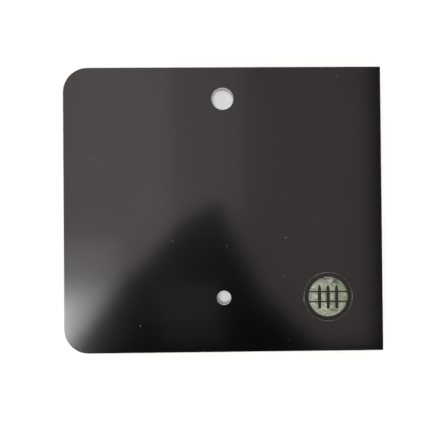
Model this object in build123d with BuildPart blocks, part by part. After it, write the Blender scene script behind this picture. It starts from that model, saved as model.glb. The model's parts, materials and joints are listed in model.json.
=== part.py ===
"""Flat cap for the top of a fence post: a laminated plate with two screw holes, a round badge let into
one corner and strips of foam seal underneath. Millimetres. The origin is at the middle of the underside,
+Z is up, +X points to the square-cornered side and +Y to the side of the large screw hole."""

from build123d import *

import os

# The plate.
cap_width = 100.0
cap_depth = 89.5
round_corner_radius = 7.7
square_corner_radius = 0.4
skin_thickness = 0.3
core_thickness = 2.4
edge_break = 0.1

# The screw holes, both on the middle of the width.
large_hole_diameter = 6.8
large_hole_edge_distance = 10.0
small_hole_diameter = 4.3
small_hole_edge_distance = 17.0
hole_bevel = 0.1

# The badge, which stands in line with the small screw hole.
badge_diameter = 15.5
badge_depth = 1.3
badge_edge_distance = 17.25
badge_fit_clearance = 0.05
bezel_wall = 0.3
bezel_floor = 0.3
bezel_edge_break = 0.06
band_thickness = 0.3
band_width = 1.2

# The picket motif on the badge.
picket_count = 3
picket_width = 0.9
picket_pitch = 2.7
picket_height = 7.4
picket_tip_height = 0.9
rail_width = 0.4
rail_spacing = 3.1

# The foam seal strips under the plate.
seal_thickness = 1.0
seal_width = 3.0
seal_inset = 3.0
seal_joint_gap = 0.2
seal_edge_radius = 0.2

# Levels, from the post's top upwards.
back_skin_bottom = seal_thickness
core_bottom = back_skin_bottom + skin_thickness
core_top = core_bottom + core_thickness
cap_top = core_top + skin_thickness

# Places in plan.
large_hole_y = cap_depth / 2 - large_hole_edge_distance
small_hole_y = -cap_depth / 2 + small_hole_edge_distance
badge_x = cap_width / 2 - badge_edge_distance
badge_y = small_hole_y

# The badge's own levels and radii, from its bezel inwards.
badge_radius = badge_diameter / 2
badge_bottom = cap_top - badge_depth
disc_bottom = badge_bottom + bezel_floor
band_bottom = cap_top - band_thickness
bezel_inner_radius = badge_radius - bezel_wall
insert_radius = bezel_inner_radius - badge_fit_clearance
band_inner_radius = insert_radius - band_width
motif_radius = band_inner_radius - badge_fit_clearance

# How far a cutting tool runs past the face that it cuts.
overrun = 1.0


def sheet(thickness, bottom):
    """One sheet of the plate: round corners on the left, square corners on the right."""
    with BuildPart() as blank:
        with BuildSketch(Plane.XY.offset(bottom)) as outline:
            Rectangle(cap_width, cap_depth)
            fillet(outline.vertices().group_by(Axis.X)[0], radius=round_corner_radius)
            fillet(outline.vertices().group_by(Axis.X)[-1], radius=square_corner_radius)
        extrude(amount=thickness)
    return blank.part


def screw_hole_cutter(diameter, centre_y):
    """The drill and its bevel: a straight shank below, opening out at the top face."""
    radius = diameter / 2
    bottom = -overrun
    with BuildPart() as cutter:
        with BuildSketch(Plane.XZ.offset(-centre_y)):
            with BuildLine():
                Polyline(
                    (0, bottom),
                    (radius, bottom),
                    (radius, cap_top - hole_bevel),
                    (radius + hole_bevel + overrun, cap_top + overrun),
                    (0, cap_top + overrun),
                    close=True,
                )
            make_face()
        revolve(axis=Axis((0, centre_y, 0), (0, 0, 1)))
    return cutter.part


def badge_round(radius, thickness, bottom):
    """A round blank on the badge's own centre."""
    with BuildPart() as blank:
        with BuildSketch(Plane.XY.offset(bottom)):
            with Locations((badge_x, badge_y)):
                Circle(radius)
        extrude(amount=thickness)
    return blank.part


large_hole_cutter = screw_hole_cutter(large_hole_diameter, large_hole_y)
small_hole_cutter = screw_hole_cutter(small_hole_diameter, small_hole_y)
badge_pocket_cutter = badge_round(badge_radius + badge_fit_clearance, badge_depth + overrun, badge_bottom)
face_blank = sheet(skin_thickness, core_top)
core_blank = sheet(core_thickness, core_bottom)
back_blank = sheet(skin_thickness, back_skin_bottom)

# The painted face skin, open for the badge.
with BuildPart() as face_skin:
    add(face_blank)
    chamfer(face_skin.faces().sort_by(Axis.Z)[-1].edges(), length=edge_break)
    add(large_hole_cutter, mode=Mode.SUBTRACT)
    add(small_hole_cutter, mode=Mode.SUBTRACT)
    add(badge_pocket_cutter, mode=Mode.SUBTRACT)

# The plastic core, with a blind pocket that the badge sits in.
with BuildPart() as core_sheet:
    add(core_blank)
    add(large_hole_cutter, mode=Mode.SUBTRACT)
    add(small_hole_cutter, mode=Mode.SUBTRACT)
    add(badge_pocket_cutter, mode=Mode.SUBTRACT)

# The bare back skin.
with BuildPart() as back_skin:
    add(back_blank)
    chamfer(back_skin.faces().sort_by(Axis.Z)[0].edges(), length=edge_break)
    add(large_hole_cutter, mode=Mode.SUBTRACT)
    add(small_hole_cutter, mode=Mode.SUBTRACT)

# The badge's bright bezel: a shallow cup whose rim shows as a thin ring in the black face.
bezel_blank = badge_round(badge_radius, badge_depth, badge_bottom)
bezel_hollow = badge_round(bezel_inner_radius, badge_depth, disc_bottom)
with BuildPart() as badge_bezel:
    add(bezel_blank)
    add(bezel_hollow, mode=Mode.SUBTRACT)
    chamfer(badge_bezel.faces().sort_by(Axis.Z)[-1].edges(), length=bezel_edge_break)

# The pale marbled disc in the bezel.
with BuildPart() as badge_disc:
    with BuildSketch(Plane.XY.offset(disc_bottom)):
        with Locations((badge_x, badge_y)):
            Circle(insert_radius)
    extrude(amount=band_bottom - disc_bottom)

# The black band round the disc's edge.
with BuildPart() as badge_band:
    with BuildSketch(Plane.XY.offset(band_bottom)):
        with Locations((badge_x, badge_y)):
            Circle(insert_radius)
            Circle(band_inner_radius, mode=Mode.SUBTRACT)
    extrude(amount=band_thickness)

# The motif: pickets with pointed tops on two rails that run across to the band.
picket_foot = -picket_height / 2
picket_shoulder = picket_height / 2 - picket_tip_height
with BuildPart() as badge_motif:
    with BuildSketch(Plane((badge_x, badge_y, band_bottom))):
        with GridLocations(0, rail_spacing, 1, 2):
            Rectangle(2 * motif_radius, rail_width)
        with GridLocations(picket_pitch, 0, picket_count, 1):
            with BuildLine(mode=Mode.PRIVATE) as picket:
                Polyline(
                    (-picket_width / 2, picket_foot),
                    (picket_width / 2, picket_foot),
                    (picket_width / 2, picket_shoulder),
                    (0, picket_height / 2),
                    (-picket_width / 2, picket_shoulder),
                    close=True,
                )
            add(make_face(picket.line, mode=Mode.PRIVATE))
        Circle(motif_radius, mode=Mode.INTERSECT)
    extrude(amount=band_thickness)


def seal_strip(length_x, length_y, centre_x, centre_y):
    """A straight strip of foam tape on the back skin, with its lower edges rounded, clear of the screws."""
    with BuildPart() as strip:
        with BuildSketch():
            with Locations((centre_x, centre_y)):
                Rectangle(length_x, length_y)
        extrude(amount=seal_thickness)
        fillet(strip.faces().sort_by(Axis.Z)[0].edges(), radius=seal_edge_radius)
        add(large_hole_cutter, mode=Mode.SUBTRACT)
        add(small_hole_cutter, mode=Mode.SUBTRACT)
    return strip.part


seal_run_x = cap_width - 2 * seal_inset
seal_run_y = cap_depth - 2 * (seal_inset + seal_width + seal_joint_gap)
seal_centre_x = cap_width / 2 - seal_inset - seal_width / 2
seal_centre_y = cap_depth / 2 - seal_inset - seal_width / 2

pieces = {
    "face_skin": face_skin.part,
    "core_sheet": core_sheet.part,
    "back_skin": back_skin.part,
    "badge_bezel": badge_bezel.part,
    "badge_disc": badge_disc.part,
    "badge_band": badge_band.part,
    "badge_motif": badge_motif.part,
    "seal_strip_left": seal_strip(seal_width, seal_run_y, -seal_centre_x, 0),
    "seal_strip_right": seal_strip(seal_width, seal_run_y, seal_centre_x, 0),
    "seal_strip_front": seal_strip(seal_run_x, seal_width, 0, -seal_centre_y),
    "seal_strip_back": seal_strip(seal_run_x, seal_width, 0, seal_centre_y),
}

os.makedirs("parts", exist_ok=True)
for name, piece in pieces.items():
    piece.label = name
    export_step(piece, f"parts/{name}.step")
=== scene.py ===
import json
import math

import bpy
from mathutils import Matrix, Vector


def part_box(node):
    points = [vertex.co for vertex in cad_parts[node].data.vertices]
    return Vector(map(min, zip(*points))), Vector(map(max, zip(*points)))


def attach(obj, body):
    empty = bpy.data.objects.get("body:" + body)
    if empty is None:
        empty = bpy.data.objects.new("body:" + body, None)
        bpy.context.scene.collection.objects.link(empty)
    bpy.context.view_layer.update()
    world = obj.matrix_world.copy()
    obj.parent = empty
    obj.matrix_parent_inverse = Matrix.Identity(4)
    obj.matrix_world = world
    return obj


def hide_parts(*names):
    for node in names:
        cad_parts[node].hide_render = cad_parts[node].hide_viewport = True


mm = 0.001  # every size below that is given in millimetres is multiplied by this

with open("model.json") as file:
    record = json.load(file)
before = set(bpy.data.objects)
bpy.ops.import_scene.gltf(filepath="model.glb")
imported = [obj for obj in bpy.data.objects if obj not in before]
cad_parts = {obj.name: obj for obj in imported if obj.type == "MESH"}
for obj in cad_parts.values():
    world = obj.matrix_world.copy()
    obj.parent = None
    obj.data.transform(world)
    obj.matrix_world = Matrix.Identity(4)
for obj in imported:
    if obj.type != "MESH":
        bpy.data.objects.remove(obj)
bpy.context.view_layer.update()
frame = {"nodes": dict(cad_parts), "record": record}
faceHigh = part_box("face_skin")[1]
badgeLow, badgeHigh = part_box("badge_bezel")
badgeCentre = (badgeLow + badgeHigh) / 2
screwHoles = [mount for mount in frame["record"]["mounts"] if mount["kind"] == "bore"]
print("frame loaded:", len(frame["nodes"]), "nodes,", len(screwHoles), "screw holes")


# Small helpers for node trees

def feed(tree, node, values):  # a socket is linked, anything else is set
    for socket, value in values.items():
        if isinstance(value, bpy.types.NodeSocket):
            tree.links.new(value, node.inputs[socket])
        else:
            node.inputs[socket].default_value = value


def addNode(tree, kind, inputs=None, **settings):
    node = tree.nodes.new(kind)
    for key, value in settings.items():
        setattr(node, key, value)
    feed(tree, node, inputs or {})
    return node


def calc(tree, operation, first, second=0.0, clamp=False):
    node = addNode(tree, "ShaderNodeMath", {0: first, 1: second}, operation=operation)
    node.use_clamp = clamp
    return node.outputs[0]


def fade(tree, value, start, end):  # 0 at start, 1 at end, smooth between
    node = addNode(tree, "ShaderNodeMapRange", {"Value": value, "From Min": start, "From Max": end})
    node.interpolation_type = "SMOOTHSTEP"
    return node.outputs["Result"]


def blendColour(tree, mask, under, over):
    node = addNode(tree, "ShaderNodeMix", {0: mask}, data_type="RGBA")
    for socket, value in ((6, under), (7, over)):
        feed(tree, node, {socket: value if isinstance(value, bpy.types.NodeSocket) else (*value, 1.0)})
    return node.outputs[2]


def blendValue(tree, mask, under, over):
    node = addNode(tree, "ShaderNodeMix", {0: mask, 2: under, 3: over}, data_type="FLOAT")
    return node.outputs[0]


def startGroup(name, inputs, outputs):
    group = bpy.data.node_groups.new(name, "ShaderNodeTree")
    for socketName, socketType, value in inputs:
        socket = group.interface.new_socket(socketName, in_out="INPUT", socket_type=socketType)
        if value is not None:
            socket.default_value = value
    for socketName, socketType in outputs:
        group.interface.new_socket(socketName, in_out="OUTPUT", socket_type=socketType)
    return group, addNode(group, "NodeGroupInput"), addNode(group, "NodeGroupOutput")


def fillGroup(tree, group, values):
    node = addNode(tree, "ShaderNodeGroup", node_tree=group)
    feed(tree, node, values)
    return node


def startMaterial(name):
    material = bpy.data.materials.new(name)
    material.use_nodes = True
    tree = material.node_tree
    tree.nodes.clear()
    shader = addNode(tree, "ShaderNodeBsdfPrincipled")
    output = addNode(tree, "ShaderNodeOutputMaterial")
    tree.links.new(shader.outputs[0], output.inputs[0])
    places = addNode(tree, "ShaderNodeTexCoord")
    return material, tree, shader, places


# Effects that several materials share

noiseMiddle = 0.5  # the value that noise swings round
plainStretch = (1.0, 1.0, 1.0)


def makeGrainGroup():  # noise that can be drawn out along an axis; sizes are in millimetres
    group, entry, result = startGroup(
        "grain",
        [("Vector", "NodeSocketVector", None), ("Stretch", "NodeSocketVector", plainStretch),
         ("Feature Size", "NodeSocketFloat", 1.0), ("Detail", "NodeSocketFloat", 3.0),
         ("Contrast", "NodeSocketFloat", 1.0)],
        [("Value", "NodeSocketFloat")])
    drawn = addNode(group, "ShaderNodeVectorMath", {0: entry.outputs["Vector"], 1: entry.outputs["Stretch"]},
                    operation="MULTIPLY").outputs[0]
    perMetre = calc(group, "DIVIDE", 1 / mm, entry.outputs["Feature Size"])
    noise = addNode(group, "ShaderNodeTexNoise",
                    {"Vector": drawn, "Scale": perMetre, "Detail": entry.outputs["Detail"]}).outputs[0]
    centred = calc(group, "SUBTRACT", noise, noiseMiddle)
    spread = calc(group, "MULTIPLY", centred, entry.outputs["Contrast"])
    group.links.new(calc(group, "ADD", spread, noiseMiddle, clamp=True), result.inputs[0])
    return group


dustShape = {
    "solidShare": 0.4,  # of a speck's radius
    "smallestReach": 0.0001,  # keeps the division safe in a cell whose speck has no size
}


def makeDustGroup():  # scattered specks; Share is how many of the cells hold one
    group, entry, result = startGroup(
        "dust",
        [("Vector", "NodeSocketVector", None), ("Spacing", "NodeSocketFloat", 5.0),
         ("Speck Size", "NodeSocketFloat", 0.2), ("Share", "NodeSocketFloat", 0.5)],
        [("Mask", "NodeSocketFloat")])
    perMetre = calc(group, "DIVIDE", 1 / mm, entry.outputs["Spacing"])
    cells = addNode(group, "ShaderNodeTexVoronoi", {"Vector": entry.outputs["Vector"], "Scale": perMetre},
                    voronoi_dimensions="2D")
    pick = addNode(group, "ShaderNodeSeparateColor", {0: cells.outputs["Color"]})
    reach = calc(group, "DIVIDE", entry.outputs["Speck Size"], entry.outputs["Spacing"])
    reach = calc(group, "MULTIPLY", reach, pick.outputs["Green"])
    reach = calc(group, "ADD", reach, dustShape["smallestReach"])
    nearness = calc(group, "DIVIDE", cells.outputs["Distance"], reach)
    speck = fade(group, nearness, 1.0, dustShape["solidShare"])
    chosen = calc(group, "LESS_THAN", pick.outputs["Red"], entry.outputs["Share"])
    group.links.new(calc(group, "MULTIPLY", speck, chosen), result.inputs[0])
    return group


wearShape = {
    "noiseDetail": 2.0,
    "edgePull": 0.25,  # how much likelier a chip is right at the edge
    "amountReach": 0.5,  # how far a full amount lowers the limit for a chip
    "softness": 0.03,
}


def makeWearGroup():  # chips along an edge: Edge is the distance to it in metres
    values = wearShape
    group, entry, result = startGroup(
        "wear",
        [("Vector", "NodeSocketVector", None), ("Edge", "NodeSocketFloat", 0.0),
         ("Reach", "NodeSocketFloat", 0.3), ("Chip Size", "NodeSocketFloat", 0.5),
         ("Amount", "NodeSocketFloat", 0.5)],
        [("Mask", "NodeSocketFloat")])
    perMetre = calc(group, "DIVIDE", 1 / mm, entry.outputs["Chip Size"])
    noise = addNode(group, "ShaderNodeTexNoise",
                    {"Vector": entry.outputs["Vector"], "Scale": perMetre,
                     "Detail": values["noiseDetail"]}).outputs[0]
    reach = calc(group, "MULTIPLY", entry.outputs["Reach"], mm)
    falloff = calc(group, "SUBTRACT", 1.0, calc(group, "DIVIDE", entry.outputs["Edge"], reach), clamp=True)
    level = calc(group, "ADD", noise, calc(group, "MULTIPLY", falloff, values["edgePull"]))
    lowered = calc(group, "MULTIPLY", entry.outputs["Amount"], values["amountReach"])
    limit = calc(group, "SUBTRACT", 1.0, lowered)
    chips = fade(group, level, limit, calc(group, "ADD", limit, values["softness"]))
    near = calc(group, "GREATER_THAN", falloff, 0.0)
    group.links.new(calc(group, "MULTIPLY", chips, near), result.inputs[0])
    return group


grainGroup = makeGrainGroup()
dustGroup = makeDustGroup()
wearGroup = makeWearGroup()
print("shared effects made")


def addGrain(tree, vector, size, detail=3.0, contrast=1.0, stretch=plainStretch):
    return fillGroup(tree, grainGroup, {"Vector": vector, "Stretch": stretch, "Feature Size": size,
                                        "Detail": detail, "Contrast": contrast}).outputs[0]


def addDust(tree, vector, spacing, size, share):
    return fillGroup(tree, dustGroup, {"Vector": vector, "Spacing": spacing, "Speck Size": size,
                                       "Share": share}).outputs[0]


def addBump(tree, height, depth, strength):
    return addNode(tree, "ShaderNodeBump", {"Strength": strength, "Distance": depth * mm,
                                            "Height": height}).outputs[0]


def radialDistance(tree, vector, centre):  # distance in plan from a vertical axis
    parts = addNode(tree, "ShaderNodeSeparateXYZ", {0: vector})
    flat = addNode(tree, "ShaderNodeCombineXYZ", {0: parts.outputs[0], 1: parts.outputs[1]})
    gap = addNode(tree, "ShaderNodeVectorMath", {0: flat.outputs[0], 1: (centre[0], centre[1], 0.0)},
                  operation="DISTANCE")
    return gap.outputs["Value"]


def outlineDistance(tree, vector):  # distance in plan from the plate's straight edges
    parts = addNode(tree, "ShaderNodeSeparateXYZ", {0: vector})
    gapX = calc(tree, "SUBTRACT", faceHigh.x, calc(tree, "ABSOLUTE", parts.outputs[0]))
    gapY = calc(tree, "SUBTRACT", faceHigh.y, calc(tree, "ABSOLUTE", parts.outputs[1]))
    return calc(tree, "MINIMUM", gapX, gapY)


# The face: satin black coil coating on aluminium, bare where the holes are bevelled and at the cut

faceFinish = {
    "paint": (0.0016, 0.0015, 0.0015),
    "paintRoughness": (0.105, 0.135),
    "paintIor": 1.5,
    "cloud": {"size": 22.0, "detail": 4.0, "contrast": 1.8},
    "metal": (0.70, 0.71, 0.69),
    "metalRoughness": 0.32,
    "bevel": 0.1,
    "bevelSoftness": 0.04,
    "uprightLimit": 0.35,  # the normal of a cut side rises less than this
    "edgeReach": 0.35,
    "chipSize": 0.45,
    "chipAmount": 0.30,
    "dustColour": (0.105, 0.102, 0.10),
    "dustRoughness": 0.75,
    "dust": {"spacing": 9.0, "size": 0.28, "share": 0.26},
    "lint": {"spacing": 3.2, "size": 0.09, "share": 0.30},
    "grainSize": 0.12,
    "grainBump": {"depth": 0.0006, "strength": 0.35},
}

scuffMark = {
    "centre": (-46.8, -2.0),
    "radius": 19.2,
    "widths": (1.1, 0.7),  # at the plate's edge and at its inner end
    "reach": (-49.0, -36.5),
    "strength": 0.45,  # at the plate's edge
    "gain": 1.1,  # added by the inner end
    "fadesFrom": 0.82,  # share of the reach
    "streakSize": 1.6,
    "colour": (0.026, 0.026, 0.027),
    "roughness": 0.4,
}


def scuffMask(tree, vector):  # a faint arc rubbed in beside the left edge, clearest at its inner end
    values = scuffMark
    start, end = [value * mm for value in values["reach"]]
    centre = [value * mm for value in values["centre"]]
    parts = addNode(tree, "ShaderNodeSeparateXYZ", {0: vector})
    along = fade(tree, parts.outputs[0], start, end)
    width = blendValue(tree, along, *[value * mm for value in values["widths"]])
    ring = calc(tree, "SUBTRACT", radialDistance(tree, vector, centre), values["radius"] * mm)
    line = fade(tree, calc(tree, "DIVIDE", calc(tree, "ABSOLUTE", ring), width), 1.0, 0.0)
    peak = calc(tree, "ADD", values["strength"], calc(tree, "MULTIPLY", along, values["gain"]))
    inside = fade(tree, along, 1.0, values["fadesFrom"])
    above = calc(tree, "GREATER_THAN", parts.outputs[1], centre[1])
    streaks = addGrain(tree, vector, values["streakSize"])
    ends = calc(tree, "MULTIPLY", inside, above)
    strength = calc(tree, "MULTIPLY", calc(tree, "MULTIPLY", line, peak), ends)
    return calc(tree, "MULTIPLY", strength, streaks, clamp=True)


def makeFaceMaterial():
    values = faceFinish
    material, tree, shader, places = startMaterial("satinBlackFace")
    vector = places.outputs["Object"]
    normalParts = addNode(tree, "ShaderNodeSeparateXYZ", {0: places.outputs["Normal"]})
    rise = calc(tree, "ABSOLUTE", normalParts.outputs[2])
    bare = calc(tree, "LESS_THAN", rise, values["uprightLimit"])
    for hole in screwHoles:
        reach = (hole["dims"]["r_mm"] + values["bevel"]) * mm
        distance = radialDistance(tree, vector, hole["pos_m"])
        bevel = fade(tree, distance, reach, reach - values["bevelSoftness"] * mm)
        bare = calc(tree, "MAXIMUM", bare, bevel)
    edge = outlineDistance(tree, vector)
    chips = fillGroup(tree, wearGroup, {"Vector": vector, "Edge": edge, "Reach": values["edgeReach"],
                                        "Chip Size": values["chipSize"], "Amount": values["chipAmount"]})
    bare = calc(tree, "MAXIMUM", bare, chips.outputs[0])
    dust = addDust(tree, vector, **values["dust"])
    lint = addDust(tree, vector, **values["lint"])
    specks = calc(tree, "MAXIMUM", dust, lint)
    specks = calc(tree, "MULTIPLY", specks, calc(tree, "SUBTRACT", 1.0, bare))
    scuff = scuffMask(tree, vector)
    cloud = addGrain(tree, vector, **values["cloud"])
    grain = addGrain(tree, vector, values["grainSize"])

    colour = blendColour(tree, scuff, values["paint"], scuffMark["colour"])
    colour = blendColour(tree, specks, colour, values["dustColour"])
    colour = blendColour(tree, bare, colour, values["metal"])
    roughness = blendValue(tree, cloud, *values["paintRoughness"])
    roughness = blendValue(tree, scuff, roughness, scuffMark["roughness"])
    roughness = blendValue(tree, specks, roughness, values["dustRoughness"])
    roughness = blendValue(tree, bare, roughness, values["metalRoughness"])
    feed(tree, shader, {"Base Color": colour, "Roughness": roughness, "Metallic": bare,
                        "Normal": addBump(tree, grain, **values["grainBump"]), "IOR": values["paintIor"]})
    return material


# The core: milky polyethylene, sawn at the edges and drilled at the holes

coreFinish = {
    "milky": (0.45, 0.48, 0.42),
    "stained": (0.33, 0.36, 0.30),
    "stain": {"size": 3.0, "detail": 5.0, "contrast": 2.2},
    # the core is drawn darker along each skin
    "skinSideDark": (0.10, 0.10, 0.085),
    "skinSideReach": 0.22,  # from each skin
    "skinSideStrength": 0.85,
    "sawMarks": {"size": 0.35, "detail": 4.0, "contrast": 1.6, "stretch": (1.0, 1.0, 0.12)},
    "sawMarkLevels": (0.55, 0.9),  # where a mark starts to darken the core with painted shade and where it does so fully
    "sawMarkPaintedShade": 0.72,
    "sawMarkBump": {"depth": 0.03, "strength": 0.6},
    "roughness": (0.4, 0.65),
    "glowWeight": 0.15,
    "glowDepth": 0.6,
    "ior": 1.5,
}


def makeCoreMaterial():
    values = coreFinish
    material, tree, shader, places = startMaterial("milkyCore")
    vector = places.outputs["Object"]
    marks = addGrain(tree, vector, **values["sawMarks"])
    stain = addGrain(tree, vector, **values["stain"])
    colour = blendColour(tree, stain, values["milky"], values["stained"])
    # painted shade: the core's colours are darkened in the saw marks, as if shade lay in their grooves
    shaded = blendColour(tree, stain, *[[value * values["sawMarkPaintedShade"] for value in values[name]]
                                        for name in ("milky", "stained")])
    colour = blendColour(tree, fade(tree, marks, *values["sawMarkLevels"]), colour, shaded)
    low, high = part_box("core_sheet")
    height = addNode(tree, "ShaderNodeSeparateXYZ", {0: vector}).outputs[2]
    fromMiddle = calc(tree, "ABSOLUTE", calc(tree, "SUBTRACT", height, (low.z + high.z) / 2))
    half = (high.z - low.z) / 2
    # the core's colour is darkened towards each skin: full at the skin, fading out over the reach given in
    # coreFinish
    skinSideDark = fade(tree, fromMiddle, half - values["skinSideReach"] * mm, half)
    skinSideDark = calc(tree, "MULTIPLY", skinSideDark, values["skinSideStrength"])
    colour = blendColour(tree, skinSideDark, colour, values["skinSideDark"])
    roughness = blendValue(tree, marks, *values["roughness"])
    feed(tree, shader, {"Base Color": colour, "Roughness": roughness,
                        "Normal": addBump(tree, marks, **values["sawMarkBump"]),
                        "Subsurface Weight": values["glowWeight"],
                        "Subsurface Scale": values["glowDepth"] * mm,
                        "Subsurface Radius": (1.0, 1.0, 1.0), "IOR": values["ior"]})
    return material


# The back skin: mill aluminium under a thin wash coat, with rolling lines along the sheet

backFinish = {
    "coat": (0.50, 0.50, 0.48),
    "rolled": (0.62, 0.62, 0.61),
    "rollingLines": {"size": 0.5, "detail": 5.0, "contrast": 1.8, "stretch": (0.015, 1.0, 1.0)},
    "lineBump": {"depth": 0.002, "strength": 0.5},
    "cloud": {"size": 14.0, "detail": 4.0, "contrast": 1.6},
    "stainColour": (0.25, 0.25, 0.24),
    "stains": {"spacing": 6.0, "size": 0.35, "share": 0.12},
    "roughness": (0.32, 0.48),
    "metallic": 0.9,
}


def makeBackMaterial():
    values = backFinish
    material, tree, shader, places = startMaterial("millBack")
    vector = places.outputs["Object"]
    lines = addGrain(tree, vector, **values["rollingLines"])
    cloud = addGrain(tree, vector, **values["cloud"])
    stains = addDust(tree, vector, **values["stains"])
    colour = blendColour(tree, lines, values["coat"], values["rolled"])
    colour = blendColour(tree, stains, colour, values["stainColour"])
    roughness = blendValue(tree, cloud, *values["roughness"])
    feed(tree, shader, {"Base Color": colour, "Roughness": roughness, "Metallic": values["metallic"],
                        "Normal": addBump(tree, lines, **values["lineBump"])})
    return material


# The badge: a turned bezel, a pale green marbled disc and black enamel

bezelFinish = {
    "metal": (0.25, 0.255, 0.22),
    "tarnish": {"size": 2.4, "detail": 4.0, "contrast": 2.4},
    "tarnishShade": 0.25,
    "roughness": (0.22, 0.46),
    "turningPitch": 0.06,
    "turningBump": {"depth": 0.0035, "strength": 1.0},
}

marbleFinish = {
    "shadow": (0.062, 0.068, 0.052),
    "green": (0.148, 0.182, 0.110),
    "pale": (0.262, 0.276, 0.212),
    # pale veins of the marbling, which are also painted highlight streaks
    "veinAndHighlight": (0.54, 0.55, 0.48),
    "swirlSize": 3.4,
    "swirlDetail": 3.0,
    "swirlReach": 1.5,
    "body": {"size": 2.2, "detail": 5.0, "contrast": 2.6},
    "deep": {"size": 3.6, "detail": 3.0, "contrast": 3.0},
    "deepLevels": (0.62, 0.95),  # where the shadow colour starts and where it is full
    "veinSize": 2.6,
    "veinDetail": 2.0,
    "veinWidth": 0.042,
    "veinHeight": 0.6,
    "speckle": {"size": 0.35, "detail": 3.0, "contrast": 2.5},
    "speckleHeight": 0.3,
    "reliefBump": {"depth": 0.02, "strength": 0.5},
    "roughness": (0.26, 0.41),
    "ior": 1.5,
}

enamelFinish = {
    "enamel": (0.0030, 0.0029, 0.0028),
    "worn": (0.018, 0.0175, 0.0165),
    "wear": {"size": 0.8, "detail": 4.0, "contrast": 2.4},
    "wearLevels": (0.7, 1.0),
    "wearBump": {"depth": 0.004, "strength": 0.3},
    "specks": {"spacing": 1.5, "size": 0.12, "share": 0.25},
    "roughness": (0.16, 0.27),
    "ior": 1.5,
}


def makeBezelMaterial():
    values = bezelFinish
    material, tree, shader, places = startMaterial("brightBezel")
    vector = places.outputs["Object"]
    radius = radialDistance(tree, vector, badgeCentre)
    wave = calc(tree, "SINE", calc(tree, "MULTIPLY", radius, math.tau / (values["turningPitch"] * mm)))
    tarnish = addGrain(tree, vector, **values["tarnish"])
    dulled = [value * values["tarnishShade"] for value in values["metal"]]
    colour = blendColour(tree, tarnish, values["metal"], dulled)
    roughness = blendValue(tree, tarnish, *values["roughness"])
    feed(tree, shader, {"Base Color": colour, "Roughness": roughness, "Metallic": 1.0,
                        "Normal": addBump(tree, wave, **values["turningBump"])})
    return material


def makeMarbleMaterial():
    values = marbleFinish
    material, tree, shader, places = startMaterial("marbledGreen")
    centred = addNode(tree, "ShaderNodeMapping", {"Vector": places.outputs["Object"],
                                                  "Location": (-badgeCentre.x, -badgeCentre.y, 0.0)})
    vector = centred.outputs[0]
    swirl = addNode(tree, "ShaderNodeTexNoise", {"Vector": vector, "Scale": 1 / (values["swirlSize"] * mm),
                                                 "Detail": values["swirlDetail"]})
    push = addNode(tree, "ShaderNodeVectorMath", {0: swirl.outputs["Color"], 1: (noiseMiddle,) * 3},
                   operation="SUBTRACT")
    reach = addNode(tree, "ShaderNodeVectorMath", {0: push.outputs[0], 3: values["swirlReach"] * 2 * mm},
                    operation="SCALE")
    warped = addNode(tree, "ShaderNodeVectorMath", {0: vector, 1: reach.outputs[0]},
                     operation="ADD").outputs[0]
    body = addGrain(tree, warped, **values["body"])
    deep = addGrain(tree, warped, **values["deep"])
    ridge = addNode(tree, "ShaderNodeTexNoise", {"Vector": warped, "Scale": 1 / (values["veinSize"] * mm),
                                                 "Detail": values["veinDetail"]}).outputs[0]
    ridge = calc(tree, "ABSOLUTE", calc(tree, "SUBTRACT", ridge, noiseMiddle))
    # painted highlight: the pale veins of the marbling are drawn as bright highlight streaks
    veinAndHighlight = fade(tree, ridge, values["veinWidth"], 0.0)
    speckle = addGrain(tree, vector, **values["speckle"])
    colour = blendColour(tree, body, values["green"], values["pale"])
    colour = blendColour(tree, fade(tree, deep, *values["deepLevels"]), colour, values["shadow"])
    colour = blendColour(tree, calc(tree, "MULTIPLY", veinAndHighlight, speckle), colour, values["veinAndHighlight"])
    height = calc(tree, "ADD", calc(tree, "MULTIPLY", veinAndHighlight, values["veinHeight"]),
                  calc(tree, "MULTIPLY", speckle, values["speckleHeight"]))
    roughness = blendValue(tree, speckle, *values["roughness"])
    feed(tree, shader, {"Base Color": colour, "Roughness": roughness,
                        "Normal": addBump(tree, height, **values["reliefBump"]), "IOR": values["ior"]})
    return material


def makeEnamelMaterial():
    values = enamelFinish
    material, tree, shader, places = startMaterial("badgeEnamel")
    vector = places.outputs["Object"]
    worn = addGrain(tree, vector, **values["wear"])
    specks = addDust(tree, vector, **values["specks"])
    colour = blendColour(tree, fade(tree, worn, *values["wearLevels"]), values["enamel"], values["worn"])
    colour = blendColour(tree, specks, colour, faceFinish["dustColour"])
    roughness = blendValue(tree, worn, *values["roughness"])
    feed(tree, shader, {"Base Color": colour, "Roughness": roughness,
                        "Normal": addBump(tree, worn, **values["wearBump"]), "IOR": values["ior"]})
    return material


# The foam seal: closed-cell tape, skinned below and cut at its sides

foamFinish = {
    "foam": (0.016, 0.016, 0.017),
    "bloom": (0.055, 0.055, 0.056),
    "bloomCloud": {"size": 5.0, "detail": 4.0, "contrast": 2.0},
    "cellSize": 0.32,
    "wallLevels": (0.25, 0.7),  # from a cell's hollow to its wall
    "cellBump": {"depth": 0.05, "strength": 0.7},
    "roughness": (0.92, 0.72),  # in the cells and on their walls
}


def makeFoamMaterial():
    values = foamFinish
    material, tree, shader, places = startMaterial("sealFoam")
    vector = places.outputs["Object"]
    cells = addNode(tree, "ShaderNodeTexVoronoi", {"Vector": vector, "Scale": 1 / (values["cellSize"] * mm)})
    walls = fade(tree, cells.outputs["Distance"], *values["wallLevels"])
    bloom = addGrain(tree, vector, **values["bloomCloud"])
    colour = blendColour(tree, calc(tree, "MULTIPLY", bloom, walls), values["foam"], values["bloom"])
    roughness = blendValue(tree, walls, *values["roughness"])
    feed(tree, shader, {"Base Color": colour, "Roughness": roughness,
                        "Normal": addBump(tree, walls, **values["cellBump"])})
    return material


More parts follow.
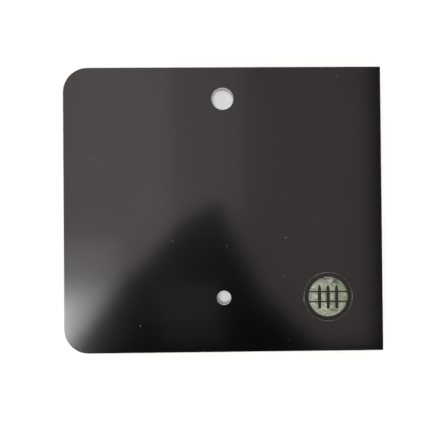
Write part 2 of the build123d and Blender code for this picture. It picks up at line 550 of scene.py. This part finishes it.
faceMaterial = makeFaceMaterial()
coreMaterial = makeCoreMaterial()
backMaterial = makeBackMaterial()
bezelMaterial = makeBezelMaterial()
marbleMaterial = makeMarbleMaterial()
enamelMaterial = makeEnamelMaterial()
foamMaterial = makeFoamMaterial()

nodeMaterials = {
    "face_skin": faceMaterial,
    "core_sheet": coreMaterial,
    "back_skin": backMaterial,
    "badge_bezel": bezelMaterial,
    "badge_disc": marbleMaterial,
    "badge_band": enamelMaterial,
    "badge_motif": enamelMaterial,
}
for nodeName, material in nodeMaterials.items():
    slots = frame["nodes"][nodeName].data.materials
    slots.clear()
    slots.append(material)
print("materials assigned")


# Helpers for Geometry Nodes trees

def startGeometry(name, inputs):
    tree = bpy.data.node_groups.new(name, "GeometryNodeTree")
    for socketName, socketType in inputs:
        tree.interface.new_socket(socketName, in_out="INPUT", socket_type=socketType)
    tree.interface.new_socket("Geometry", in_out="OUTPUT", socket_type="NodeSocketGeometry")
    return tree, addNode(tree, "NodeGroupInput").outputs, addNode(tree, "NodeGroupOutput")


def finishGeometry(tree, geometry, material, result):
    shaded = addNode(tree, "GeometryNodeSetShadeSmooth", {"Geometry": geometry}).outputs[0]
    real = addNode(tree, "GeometryNodeRealizeInstances", {"Geometry": shaded}).outputs[0]
    final = addNode(tree, "GeometryNodeSetMaterial", {"Geometry": real, "Material": material}).outputs[0]
    tree.links.new(final, result.inputs[0])


def vectorMath(tree, operation, first, second=None, scale=None):
    inputs = {0: first}
    if second is not None:
        inputs[1] = second
    if scale is not None:
        inputs["Scale"] = scale
    return addNode(tree, "ShaderNodeVectorMath", inputs, operation=operation)


def growPiece(name, tree, values):  # runs the tree once and keeps the result as a plain mesh
    holder = bpy.data.objects.new(name + "Holder", bpy.data.meshes.new(name + "Holder"))
    bpy.context.scene.collection.objects.link(holder)
    modifier = holder.modifiers.new("grow", "NODES")
    modifier.node_group = tree
    sockets = {item.name: item.identifier for item in tree.interface.items_tree if item.in_out == "INPUT"}
    for socketName, value in values.items():
        modifier[sockets[socketName]] = value
    bpy.context.view_layer.update()
    grown = holder.evaluated_get(bpy.context.evaluated_depsgraph_get())
    mesh = bpy.data.meshes.new_from_object(grown)
    bpy.data.objects.remove(holder)
    mesh.name = name
    piece = bpy.data.objects.new(name, mesh)
    bpy.context.scene.collection.objects.link(piece)
    return piece


# The foam seal: four strips of tape, dented by their cells and rounded where they are pressed

foamStrip = {
    "step": 0.19,
    "fewestSteps": 3,
    "edgeRadius": 0.2,
    "smallestReach": 0.001,  # keeps the rounding safe where a point hasn't left the core
    "cellSize": 0.55,
    "cellDepth": 0.085,
    "cellLevels": (0.62, 0.12),  # from a cell's wall to its hollow
    "waveSize": 7.0,
    "waveDepth": 0.09,
    "gluedBand": 0.12,
}


def makeFoamTree():
    floats = ["Edge Radius", "Cell Size", "Cell Depth", "Wave Size", "Wave Depth", "Glued Band"]
    tree, entry, result = startGeometry(
        "foamStrip",
        [("Size", "NodeSocketVector"), ("Place", "NodeSocketVector")]
        + [(name, "NodeSocketInt") for name in ("Steps X", "Steps Y", "Steps Z")]
        + [(name, "NodeSocketFloat") for name in floats]
        + [("Material", "NodeSocketMaterial")])
    block = addNode(tree, "GeometryNodeMeshCube",
                    {"Size": entry["Size"], "Vertices X": entry["Steps X"], "Vertices Y": entry["Steps Y"],
                     "Vertices Z": entry["Steps Z"]}).outputs[0]

    # the side and lower edges are rounded: the corner of a cube becomes the corner of a ball
    place = addNode(tree, "GeometryNodeInputPosition").outputs[0]
    half = vectorMath(tree, "SCALE", entry["Size"], scale=0.5).outputs[0]
    halfParts = addNode(tree, "ShaderNodeSeparateXYZ", {0: half}).outputs
    radius = entry["Edge Radius"]
    highest = addNode(tree, "ShaderNodeCombineXYZ",
                      {0: calc(tree, "SUBTRACT", halfParts[0], radius),
                       1: calc(tree, "SUBTRACT", halfParts[1], radius), 2: halfParts[2]}).outputs[0]
    lowest = addNode(tree, "ShaderNodeCombineXYZ",
                     {axis: calc(tree, "SUBTRACT", radius, halfParts[axis]) for axis in range(3)}).outputs[0]
    raised = vectorMath(tree, "MAXIMUM", place, lowest).outputs[0]
    core = vectorMath(tree, "MINIMUM", raised, highest).outputs[0]
    offset = vectorMath(tree, "SUBTRACT", place, core).outputs[0]
    sides = vectorMath(tree, "ABSOLUTE", offset).outputs[0]
    parts = addNode(tree, "ShaderNodeSeparateXYZ", {0: sides}).outputs
    reach = calc(tree, "MAXIMUM", parts[0], calc(tree, "MAXIMUM", parts[1], parts[2]))
    length = vectorMath(tree, "LENGTH", offset).outputs["Value"]
    length = calc(tree, "MAXIMUM", length, foamStrip["smallestReach"] * mm)
    share = calc(tree, "DIVIDE", reach, length)
    shortened = vectorMath(tree, "SCALE", offset, scale=share).outputs[0]
    rounded = vectorMath(tree, "ADD", core, shortened).outputs[0]
    block = addNode(tree, "GeometryNodeSetPosition", {"Geometry": block, "Position": rounded}).outputs[0]

    # it is set in place first, so that no two strips have the same cells
    block = addNode(tree, "GeometryNodeTransform",
                    {"Geometry": block, "Translation": entry["Place"]}).outputs[0]
    cellScale = calc(tree, "DIVIDE", 1.0, entry["Cell Size"])
    cells = addNode(tree, "ShaderNodeTexVoronoi", {"Vector": place, "Scale": cellScale}).outputs["Distance"]
    hollow = fade(tree, cells, *foamStrip["cellLevels"])
    dent = calc(tree, "MULTIPLY", hollow, entry["Cell Depth"])
    waveScale = calc(tree, "DIVIDE", 1.0, entry["Wave Size"])
    wave = addNode(tree, "ShaderNodeTexNoise",
                   {"Vector": place, "Scale": waveScale, "Detail": 1.0}).outputs[0]
    dent = calc(tree, "ADD", dent, calc(tree, "MULTIPLY", wave, entry["Wave Depth"]))
    height = addNode(tree, "ShaderNodeSeparateXYZ", {0: place}).outputs[2]
    placeParts = addNode(tree, "ShaderNodeSeparateXYZ", {0: entry["Place"]}).outputs
    top = calc(tree, "ADD", placeParts[2], halfParts[2])
    free = fade(tree, calc(tree, "SUBTRACT", top, height), 0.0, entry["Glued Band"])
    inwards = calc(tree, "MULTIPLY", calc(tree, "MULTIPLY", dent, free), -1.0)
    normal = addNode(tree, "GeometryNodeInputNormal").outputs[0]
    push = vectorMath(tree, "SCALE", normal, scale=inwards).outputs[0]
    dented = addNode(tree, "GeometryNodeSetPosition", {"Geometry": block, "Offset": push}).outputs[0]
    finishGeometry(tree, dented, entry["Material"], result)
    return tree


def makeFoamStrips():
    values = foamStrip
    tree = makeFoamTree()
    for nodeName in frame["nodes"]:
        if not nodeName.startswith("seal_strip_"):
            continue
        low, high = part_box(nodeName)
        size = high - low
        steps = [max(values["fewestSteps"], round(side / (values["step"] * mm)) + 1) for side in size]
        piece = growPiece(nodeName.replace("seal_strip", "foam"), tree, {
            "Size": size, "Place": (low + high) / 2,
            "Steps X": steps[0], "Steps Y": steps[1], "Steps Z": steps[2],
            "Edge Radius": values["edgeRadius"] * mm,
            "Cell Size": values["cellSize"] * mm, "Cell Depth": values["cellDepth"] * mm,
            "Wave Size": values["waveSize"] * mm, "Wave Depth": values["waveDepth"] * mm,
            "Glued Band": values["gluedBand"] * mm, "Material": foamMaterial})
        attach(piece, "root")
        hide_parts(nodeName)
        print("foam strip:", piece.name, len(piece.data.polygons), "faces")


makeFoamStrips()


# Saw burrs: small slivers of the skins turned out along the cut

burrs = {
    "spacing": 1.1,
    "share": 0.08,
    "cornerRadii": (7.7, 0.4),  # at the rounded and at the square corners
    "cornerSteps": 12,
    "swing": 0.5,  # radians either way
    "flake": (0.34, 0.12, 0.05),  # along the cut, outwards and up
    "smallest": 0.35,
    "inset": 0.04,
    "face_skin": {"seed": 3, "rise": 0.12},
    "back_skin": {"seed": 11, "rise": 0.15},
}


def makeBurrTree():
    floats = ["Width", "Depth", "Height", "Rounded", "Square", "Spacing", "Share", "Smallest"]
    tree, entry, result = startGeometry(
        "sawBurrs",
        [(name, "NodeSocketFloat") for name in floats]
        + [("Flake", "NodeSocketVector"), ("Seed", "NodeSocketInt"), ("Material", "NodeSocketMaterial")])
    outline = addNode(tree, "GeometryNodeCurvePrimitiveQuadrilateral",
                      {"Width": entry["Width"], "Height": entry["Depth"]}).outputs[0]
    place = addNode(tree, "GeometryNodeInputPosition").outputs[0]
    onLeft = calc(tree, "LESS_THAN", addNode(tree, "ShaderNodeSeparateXYZ", {0: place}).outputs[0], 0.0)
    radius = blendValue(tree, onLeft, entry["Square"], entry["Rounded"])
    fillet = addNode(tree, "GeometryNodeFilletCurve",
                     {"Curve": outline, "Radius": radius, "Count": burrs["cornerSteps"]},
                     mode="POLY").outputs[0]
    points = addNode(tree, "GeometryNodeCurveToPoints", {"Curve": fillet, "Length": entry["Spacing"]},
                     mode="LENGTH")
    flake = addNode(tree, "GeometryNodeMeshIcoSphere", {"Radius": 0.5, "Subdivisions": 2}).outputs[0]
    seed = entry["Seed"]
    chosen = addNode(tree, "FunctionNodeRandomValue", {"Probability": entry["Share"], "Seed": seed},
                     data_type="BOOLEAN").outputs[3]
    along = addNode(tree, "FunctionNodeAlignRotationToVector", {"Vector": points.outputs["Tangent"]},
                    axis="X").outputs[0]
    swing = addNode(tree, "FunctionNodeRandomValue",
                    {"Min": -burrs["swing"], "Max": burrs["swing"], "Seed": seed},
                    data_type="FLOAT").outputs[1]
    turn = addNode(tree, "ShaderNodeCombineXYZ", {2: swing}).outputs[0]
    turned = addNode(tree, "FunctionNodeRotateRotation", {0: along, 1: turn}).outputs[0]
    size = addNode(tree, "FunctionNodeRandomValue", {"Min": entry["Smallest"], "Max": 1.0, "Seed": seed},
                   data_type="FLOAT").outputs[1]
    scale = vectorMath(tree, "SCALE", entry["Flake"], scale=size).outputs[0]
    flakes = addNode(tree, "GeometryNodeInstanceOnPoints",
                     {"Points": points.outputs[0], "Selection": chosen, "Instance": flake,
                      "Rotation": turned, "Scale": scale}).outputs[0]
    lift = addNode(tree, "ShaderNodeCombineXYZ", {2: entry["Height"]}).outputs[0]
    lifted = addNode(tree, "GeometryNodeTransform", {"Geometry": flakes, "Translation": lift}).outputs[0]
    finishGeometry(tree, lifted, entry["Material"], result)
    return tree


def makeBurrs():
    values = burrs
    tree = makeBurrTree()
    for nodeName, slotName, material in (("face_skin", "satin_black_face", faceMaterial),
                                         ("back_skin", "mill_back", backMaterial)):
        low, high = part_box(nodeName)
        size = high - low
        inset = 2 * values["inset"] * mm
        piece = growPiece(nodeName.replace("skin", "burrs"), tree, {
            "Width": size.x - inset, "Depth": size.y - inset,
            "Height": low.z + values[nodeName]["rise"] * mm,
            "Rounded": values["cornerRadii"][0] * mm, "Square": values["cornerRadii"][1] * mm,
            "Spacing": values["spacing"] * mm, "Share": values["share"], "Smallest": values["smallest"],
            "Flake": [value * mm for value in values["flake"]], "Seed": values[nodeName]["seed"],
            "Material": material})
        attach(piece, "root")
        print("burrs:", piece.name, len(piece.data.polygons), "faces")


makeBurrs()


# Floor, light and camera

studio = {
    "floorSize": 2.4,
    "floorColour": (0.86, 0.86, 0.85),
    "floorCloudSize": 120.0,
    "floorCloudShade": 0.985,
    "floorRoughness": 0.7,
    "skyTint": (1.0, 0.99, 0.98),
    "skyZenith": 0.02,
    "skyHorizon": 1.1,
    "skyLevels": (0.15, 0.75),  # the sky darkens between these heights of the view direction
    "ceiling": 0.6,
    "layerGap": 0.001,  # panels that lie on each other would hide one another at the same height
}

overheadLight = {  # small and nearly straight above, so that the plate throws no shadow past its edges
    "place": (-0.07, -0.05, 0.55),
    "size": 0.12,
    "brightness": 34.0,
}

# these panels show in the face but light nothing else
reflectedOnly = ("lowGlow", "midGlow", "innerGlow", "cornerWindow")

ceilingPanels = {  # opposite corners in plan, brightness and tint
    "ceilingBase": {"low": (-0.23, -0.168), "high": (0.215, 0.225), "brightness": 0.92,
                    "tint": (1.0, 0.86, 0.84)},
    "ceilingMiddle": {"low": (-0.22, -0.168), "high": (0.045, 0.30), "brightness": 0.45,
                      "tint": (1.0, 0.88, 0.88)},
    "ceilingLeft": {"low": (-0.21, -0.168), "high": (-0.05, 0.28), "brightness": 0.50,
                    "tint": (1.0, 0.92, 0.94)},
    "lowGlow": {"low": (-0.42, -0.18), "high": (-0.120, -0.03), "brightness": 1.0,
                "tint": (0.97, 0.95, 1.0)},
    "midGlow": {"low": (-0.42, -0.18), "high": (-0.134, -0.085), "brightness": 2.3,
                "tint": (0.97, 0.95, 1.0)},
    "innerGlow": {"low": (-0.42, -0.18), "high": (-0.156, -0.10), "brightness": 2.9,
                  "tint": (0.96, 0.95, 1.0)},
    "cornerWindow": {"low": (-0.27, -0.21), "high": (-0.194, -0.11), "brightness": 17.0,
                     "tint": (0.96, 0.95, 1.0)},
}

flag = {  # a dark card under the ceiling that keeps its light off the near half of the face
    "corners": [(0.012, 0.023), (-0.041, -0.008), (-0.089, -0.060), (-0.120, -0.088), (-0.157, -0.136),
                (-0.182, -0.163), (-0.406, -0.434), (0.454, -0.465), (0.065, -0.091)],
    "drop": 0.01,
    "colour": (0.01, 0.01, 0.01),
    "roughness": 0.9,
}

fillCards = {  # dim cards below the flag, which keep the shaded part of the face from going dead black
    "nearFill": {"low": (-0.064, -0.164), "high": (0.016, -0.084), "brightness": 0.22,
                 "tint": (1.0, 0.95, 0.90)},
    "farFill": {"low": (-0.090, -0.130), "high": (0.015, 0.045), "brightness": 0.12,
                "tint": (1.0, 0.97, 0.92)},
}

sidePanels = {  # the big soft lights outside the reflection, one in each direction
    "azimuths": {"southPanel": -90.0, "eastPanel": 0.0, "northPanel": 90.0, "westPanel": 180.0},
    "distance": 1.3,
    "height": 0.95,
    "size": (1.4, 0.8),
    "brightness": 1.7,
}


def makeAreaLight(name, place, facing, along, length, width, brightness, tint=(1.0, 1.0, 1.0)):
    light = bpy.data.lights.new(name, "AREA")
    light.color = tint
    light.shape = "RECTANGLE"
    light.size = length
    light.size_y = width
    light.energy = brightness * math.pi * length * width
    thing = bpy.data.objects.new(name, light)
    back = -Vector(facing).normalized()
    side = Vector(along).normalized()
    up = back.cross(side)
    turn = [[side[row], up[row], back[row]] for row in range(3)]
    thing.rotation_mode = "QUATERNION"
    thing.rotation_quaternion = Matrix(turn).to_quaternion()
    thing.location = place
    bpy.context.scene.collection.objects.link(thing)
    return thing


def makeCeilingPanel(name, values, drop):
    low, high = Vector(values["low"]), Vector(values["high"])
    centre = ((low + high) / 2).to_3d()
    centre.z = studio["ceiling"] - drop
    size = high - low
    panel = makeAreaLight(name, centre, (0, 0, -1), (1, 0, 0), size.x, size.y,
                          values["brightness"], values["tint"])
    panel.visible_diffuse = name not in reflectedOnly


def makeOverheadLight():
    values = overheadLight
    size = values["size"]
    light = makeAreaLight("overhead", values["place"], (0, 0, -1), (1, 0, 0), size, size,
                          values["brightness"])
    light.visible_glossy = False


def makeFlag():
    material, tree, shader, places = startMaterial("blackCard")
    feed(tree, shader, {"Base Color": (*flag["colour"], 1.0), "Roughness": flag["roughness"],
                        "Specular IOR Level": 0.0})
    corners = [(*corner, studio["ceiling"] - flag["drop"]) for corner in flag["corners"]]
    mesh = bpy.data.meshes.new("flag")
    mesh.from_pydata(corners, [], [range(len(corners))])
    mesh.materials.append(material)
    card = bpy.data.objects.new("flag", mesh)
    card.visible_camera = False
    bpy.context.scene.collection.objects.link(card)


def makeSidePanel(name, azimuth):
    values = sidePanels
    angle = math.radians(azimuth)
    outwards = Vector((math.cos(angle), math.sin(angle), 0.0))
    place = outwards * values["distance"] + Vector((0.0, 0.0, values["height"]))
    along = Vector((-outwards.y, outwards.x, 0.0))
    makeAreaLight(name, place, -place, along, *values["size"], values["brightness"])


def makeWorld():
    world = bpy.data.worlds.new("paleRoom")
    world.use_nodes = True
    tree = world.node_tree
    tree.nodes.clear()
    direction = addNode(tree, "ShaderNodeTexCoord").outputs["Generated"]
    height = addNode(tree, "ShaderNodeSeparateXYZ", {0: direction}).outputs[2]
    lower, upper = studio["skyLevels"]
    strength = addNode(tree, "ShaderNodeMapRange",
                       {"Value": height, "From Min": lower, "From Max": upper,
                        "To Min": studio["skyHorizon"], "To Max": studio["skyZenith"]}).outputs[0]
    background = addNode(tree, "ShaderNodeBackground",
                         {"Color": (*studio["skyTint"], 1.0), "Strength": strength})
    output = addNode(tree, "ShaderNodeOutputWorld")
    tree.links.new(background.outputs[0], output.inputs[0])
    bpy.context.scene.world = world


def makeFloor():
    material, tree, shader, places = startMaterial("paleFloor")
    cloud = addGrain(tree, places.outputs["Object"], studio["floorCloudSize"])
    shaded = [value * studio["floorCloudShade"] for value in studio["floorColour"]]
    colour = blendColour(tree, cloud, studio["floorColour"], shaded)
    feed(tree, shader, {"Base Color": colour, "Roughness": studio["floorRoughness"]})
    half = studio["floorSize"] / 2
    mesh = bpy.data.meshes.new("floor")
    corners = [(-half, -half, 0), (half, -half, 0), (half, half, 0), (-half, half, 0)]
    mesh.from_pydata(corners, [], [(0, 1, 2, 3)])
    mesh.materials.append(material)
    floor = bpy.data.objects.new("floor", mesh)
    bpy.context.scene.collection.objects.link(floor)


cameraSetup = {
    "lens": 50.0,
    "sensorWidth": 36.0,
    "clipStart": 5.0,
    "place": (-5.83, -3.64, 191.49),
    "tilt": (0.579, -0.970, -0.503),
}


def makeCamera():
    data = bpy.data.cameras.new("camera")
    data.lens = cameraSetup["lens"]
    data.sensor_width = cameraSetup["sensorWidth"]
    data.clip_start = cameraSetup["clipStart"] * mm
    camera = bpy.data.objects.new("camera", data)
    camera.location = [value * mm for value in cameraSetup["place"]]
    camera.rotation_euler = [math.radians(value) for value in cameraSetup["tilt"]]
    bpy.context.scene.collection.objects.link(camera)
    bpy.context.scene.camera = camera


makeWorld()
makeFloor()
makeFlag()
for layer, (name, values) in enumerate(ceilingPanels.items()):
    makeCeilingPanel(name, values, layer * studio["layerGap"])
for layer, (name, values) in enumerate(fillCards.items()):
    makeCeilingPanel(name, values, flag["drop"] + (layer + 1) * studio["layerGap"])
makeOverheadLight()
for name, azimuth in sidePanels["azimuths"].items():
    makeSidePanel(name, azimuth)
makeCamera()
bpy.context.scene.view_settings.view_transform = "Standard"
print("studio ready")
